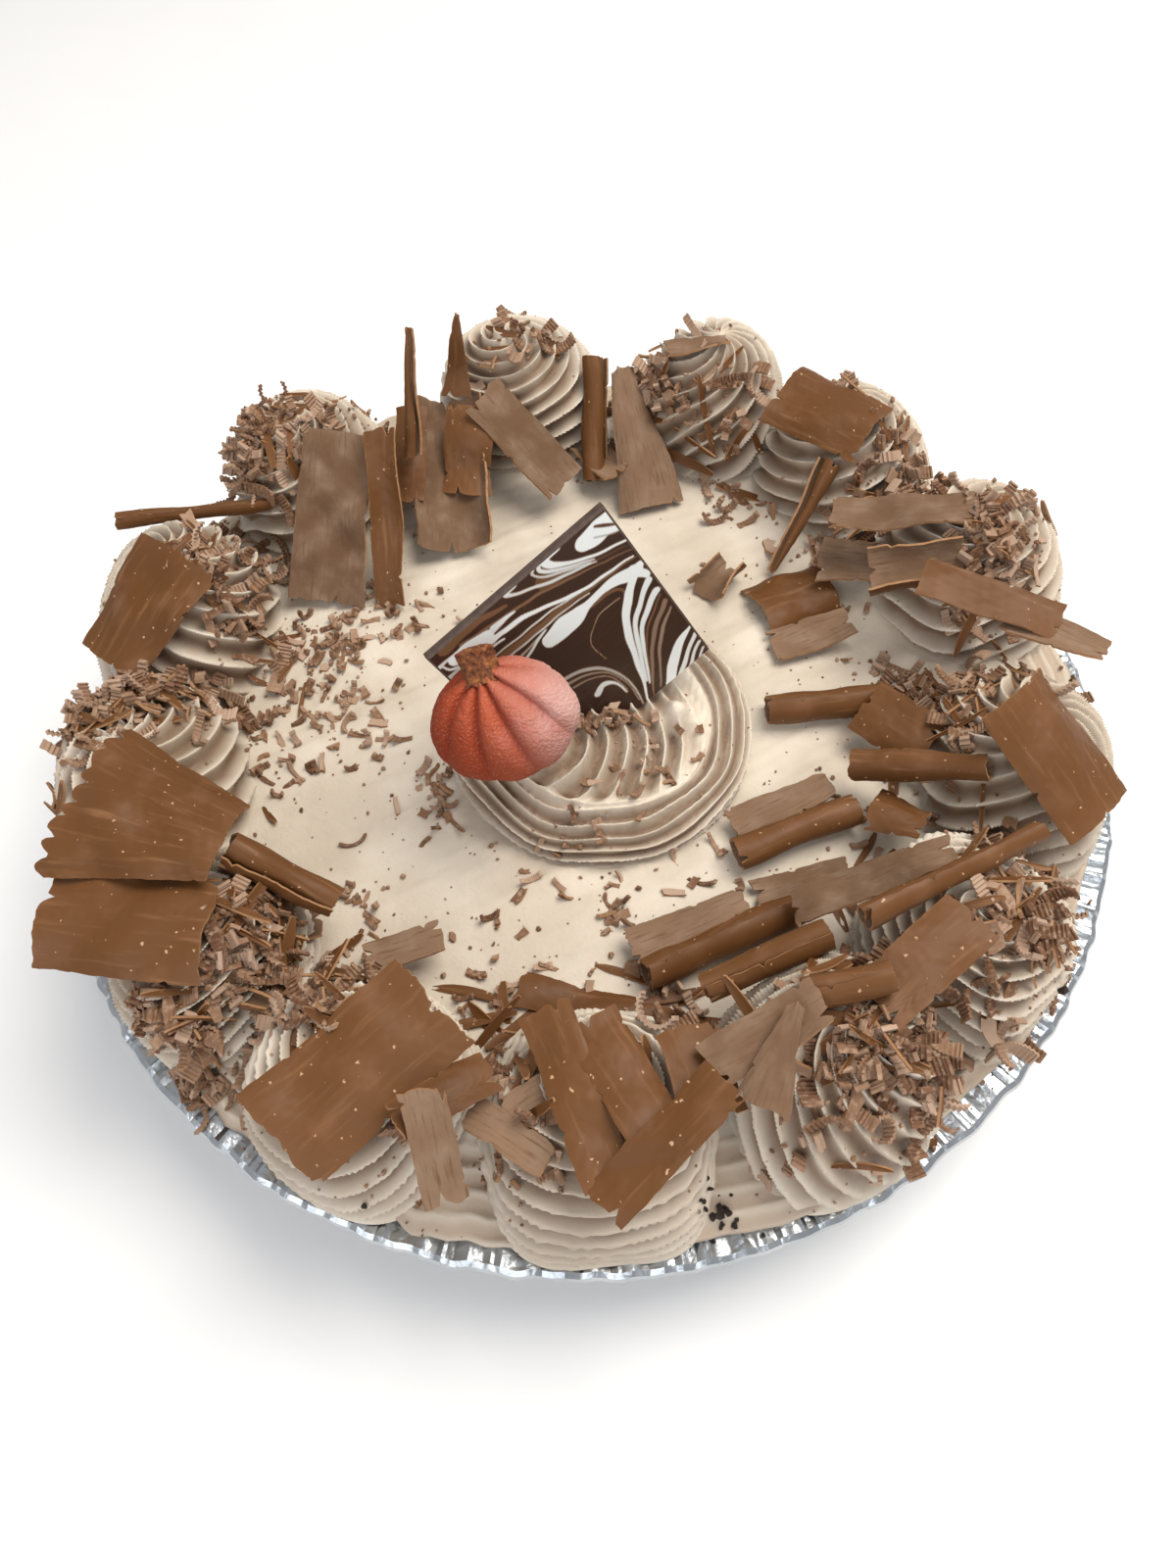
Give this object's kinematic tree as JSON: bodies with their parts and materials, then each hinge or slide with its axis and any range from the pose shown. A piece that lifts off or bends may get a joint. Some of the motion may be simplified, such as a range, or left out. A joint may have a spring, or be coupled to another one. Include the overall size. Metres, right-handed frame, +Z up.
{
  "type": "chocolate cream pie",
  "caption": "Round cream pie in a pleated foil pan, ringed with piped rosettes and large chocolate curls, with a marbled tile and a sugar pumpkin in the middle.",
  "frame": {"origin": "centre of the foil pan's flat underside, on the surface it stands on", "axes": "+Z up; -Y towards the front, where the marbled tile and the pumpkin face; +X to the right seen from the front"},
  "size_m": [0.245, 0.245, 0.1],
  "materials": {
    "foil": "thin pressed aluminium foil, bright, crinkled and smeared with cream",
    "black_crumb": "black cocoa biscuit crumb, matt and rough",
    "chocolate_cream": "whipped light chocolate cream, soft satin, piped with fine ridges",
    "milk_chocolate": "shaved milk chocolate, satin outside and dull, finely lined inside",
    "marbled_chocolate": "tempered dark chocolate marbled with white, glossy",
    "orange_sugar": "moulded sugar with fine grains, airbrushed orange to pink, brown stem"
  },
  "bodies": {
    "root": {"foil_tin": "foil", "crumb_crust": "black_crumb", "cream_filling": "chocolate_cream", "rosette_01": "chocolate_cream", "rosette_02": "chocolate_cream", "rosette_03": "chocolate_cream", "rosette_04": "chocolate_cream", "rosette_05": "chocolate_cream", "rosette_06": "chocolate_cream", "rosette_07": "chocolate_cream", "rosette_08": "chocolate_cream", "rosette_09": "chocolate_cream", "rosette_10": "chocolate_cream", "rosette_11": "chocolate_cream", "rosette_12": "chocolate_cream", "rosette_13": "chocolate_cream", "rosette_centre": "chocolate_cream", "marbled_tile": "marbled_chocolate", "sugar_pumpkin": "orange_sugar", "curl_back_tall_matte": "milk_chocolate", "curl_back_tall_brown": "milk_chocolate", "curl_back_gutter": "milk_chocolate", "curl_back_cone": "milk_chocolate", "curl_back_upright_roll": "milk_chocolate", "curl_back_diagonal_matte": "milk_chocolate", "curl_left_back_roll": "milk_chocolate", "curl_left_upper_sheet": "milk_chocolate", "curl_right_inner_roll": "milk_chocolate", "curl_right_low_roll": "milk_chocolate", "curl_right_dark_sheet": "milk_chocolate", "curl_right_outer_sheet": "milk_chocolate", "curl_right_hook": "milk_chocolate", "curl_right_warm_wave": "milk_chocolate", "curl_right_pencil": "milk_chocolate", "curl_right_scroll": "milk_chocolate", "curl_right_round_matte": "milk_chocolate", "curl_right_long_matte": "milk_chocolate", "curl_back_right_sheet": "milk_chocolate", "curl_right_bar": "milk_chocolate", "curl_right_centre_roll": "milk_chocolate", "curl_front_matte_leaf": "milk_chocolate", "curl_front_long_roll": "milk_chocolate", "curl_front_mid_roll": "milk_chocolate", "curl_front_right_matte": "milk_chocolate", "curl_front_right_long_roll": "milk_chocolate", "curl_front_right_bar": "milk_chocolate", "curl_front_end_scroll": "milk_chocolate", "curl_front_thin_leaf": "milk_chocolate", "curl_front_fan_left": "milk_chocolate", "curl_front_fan_right": "milk_chocolate", "curl_front_upright_bar": "milk_chocolate", "curl_front_crossed_bar": "milk_chocolate", "curl_front_matte_bar": "milk_chocolate", "curl_front_pointed_leaf": "milk_chocolate", "curl_front_left_sheet": "milk_chocolate", "curl_front_left_bar": "milk_chocolate", "curl_front_left_matte": "milk_chocolate", "curl_left_roll": "milk_chocolate", "curl_left_low_sheet": "milk_chocolate", "curl_left_big_sheet": "milk_chocolate"}
  },
  "joints": []
}
